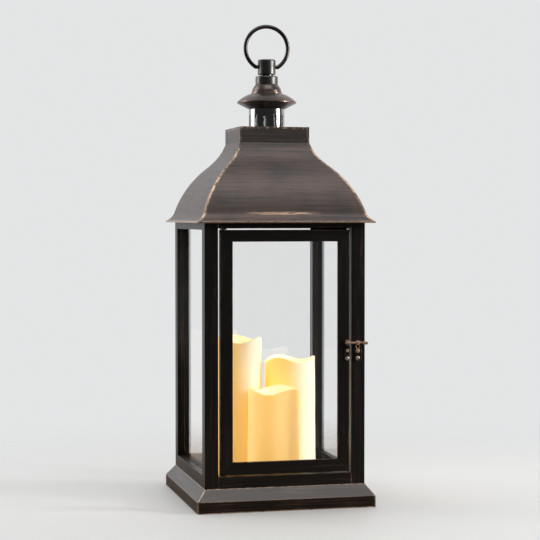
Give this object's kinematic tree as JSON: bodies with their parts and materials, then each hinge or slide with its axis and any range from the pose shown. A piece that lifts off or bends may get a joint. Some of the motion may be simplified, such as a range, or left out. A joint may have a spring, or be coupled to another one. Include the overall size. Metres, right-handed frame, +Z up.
{
  "type": "hanging lantern",
  "caption": "Square glazed lantern with a hinged, latched door, ogee roof, vented cap, carrying ring and battery candles inside.",
  "frame": {"origin": "centre of the base's underside", "axes": "+Z up along the height, -Y out of the door side, +X towards the latch"},
  "size_m": [0.264, 0.264, 0.711],
  "materials": {
    "bronze_frame": "satin, oil-rubbed bronze with worn copper edges",
    "bronze_roof": "satin, brushed bronze with copper streaks",
    "bronze_base": "satin, brushed bronze with worn edges",
    "bronze_finial": "semi-gloss dark bronze",
    "latch_metal": "satin, bronze worn to copper",
    "steel_fastener": "zinc plated",
    "glass": "clear",
    "bush_nylon": "matte",
    "candle_wax": "smooth translucent wax",
    "candle_plastic": "matte ivory",
    "cell_jacket": "printed film without lettering",
    "contact_metal": "nickel plated",
    "candle_light": "amber diffuser"
  },
  "bodies": {
    "lantern": {"base_plinth": "bronze_base", "chimney_tube": "bronze_finial", "door_stop": "bronze_frame", "finial_collar": "bronze_finial", "finial_knob": "bronze_finial", "floor_pan": "bronze_frame", "floor_screws": "steel_fastener", "hinge_pins": "bronze_frame", "latch_keeper": "latch_metal", "latch_screw_keeper": "steel_fastener", "pane_clips": "bronze_frame", "pane_left": "glass", "pane_rear": "glass", "pane_right": "glass", "post_front_left": "bronze_frame", "post_front_right": "bronze_frame", "post_rear_left": "bronze_frame", "post_rear_right": "bronze_frame", "rail_front_bottom": "bronze_frame", "rail_front_top": "bronze_frame", "rails_bottom": "bronze_frame", "rails_top": "bronze_frame", "roof_cap_plate": "bronze_roof", "roof_shell": "bronze_roof", "tie_bar": "steel_fastener", "tie_bolt": "steel_fastener", "vent_cap": "bronze_finial"},
    "door": {"door_bushes": "bush_nylon", "door_clips": "bronze_frame", "door_pane": "glass", "door_rail_bottom": "bronze_frame", "door_rail_top": "bronze_frame", "door_stile_hinge": "bronze_frame", "door_stile_latch": "bronze_frame", "latch_pivot": "latch_metal", "latch_plate": "latch_metal", "latch_screw_door": "steel_fastener"},
    "latch_arm": {"latch_arm": "latch_metal"},
    "ring_handle": {"ring_handle": "bronze_finial"},
    "candle_short": {"candle_short_cells": "cell_jacket", "candle_short_contacts": "contact_metal", "candle_short_cover": "candle_plastic", "candle_short_housing": "candle_plastic", "candle_short_light": "candle_light", "candle_short_wax": "candle_wax"},
    "candle_short_switch": {"candle_short_switch": "candle_plastic"},
    "candle_medium": {"candle_medium_cells": "cell_jacket", "candle_medium_contacts": "contact_metal", "candle_medium_cover": "candle_plastic", "candle_medium_housing": "candle_plastic", "candle_medium_light": "candle_light", "candle_medium_wax": "candle_wax"},
    "candle_medium_switch": {"candle_medium_switch": "candle_plastic"},
    "candle_tall": {"candle_tall_cells": "cell_jacket", "candle_tall_contacts": "contact_metal", "candle_tall_cover": "candle_plastic", "candle_tall_housing": "candle_plastic", "candle_tall_light": "candle_light", "candle_tall_wax": "candle_wax"},
    "candle_tall_switch": {"candle_tall_switch": "candle_plastic"}
  },
  "joints": [
    {"name": "door_hinge", "type": "hinge", "parent": "lantern", "child": "door", "pos_m": [-0.0905, -0.1125, 0.2], "axis": [0, 0, -1], "range_deg": [0, 100]},
    {"name": "latch_lift", "type": "hinge", "parent": "door", "child": "latch_arm", "pos_m": [0.0925, -0.1223, 0.2395], "axis": [0, -1, 0], "range_deg": [0, 100]},
    {"name": "ring_swing", "type": "hinge", "parent": "lantern", "child": "ring_handle", "pos_m": [0, 0, 0.6476], "axis": [1, 0, 0], "range_deg": [-135, 135]},
    {"name": "candle_short_lift", "type": "slide", "parent": "lantern", "child": "candle_short", "axis": [0, 0, 1], "range_m": [0, 0.15]},
    {"name": "candle_short_switch_slide", "type": "slide", "parent": "candle_short", "child": "candle_short_switch", "axis": [-1, 0, 0], "range_m": [0, 0.004]},
    {"name": "candle_medium_lift", "type": "slide", "parent": "lantern", "child": "candle_medium", "axis": [0, 0, 1], "range_m": [0, 0.15]},
    {"name": "candle_medium_switch_slide", "type": "slide", "parent": "candle_medium", "child": "candle_medium_switch", "axis": [-1, 0, 0], "range_m": [0, 0.004]},
    {"name": "candle_tall_lift", "type": "slide", "parent": "lantern", "child": "candle_tall", "axis": [0, 0, 1], "range_m": [0, 0.15]},
    {"name": "candle_tall_switch_slide", "type": "slide", "parent": "candle_tall", "child": "candle_tall_switch", "axis": [-1, 0, 0], "range_m": [0, 0.004]}
  ]
}
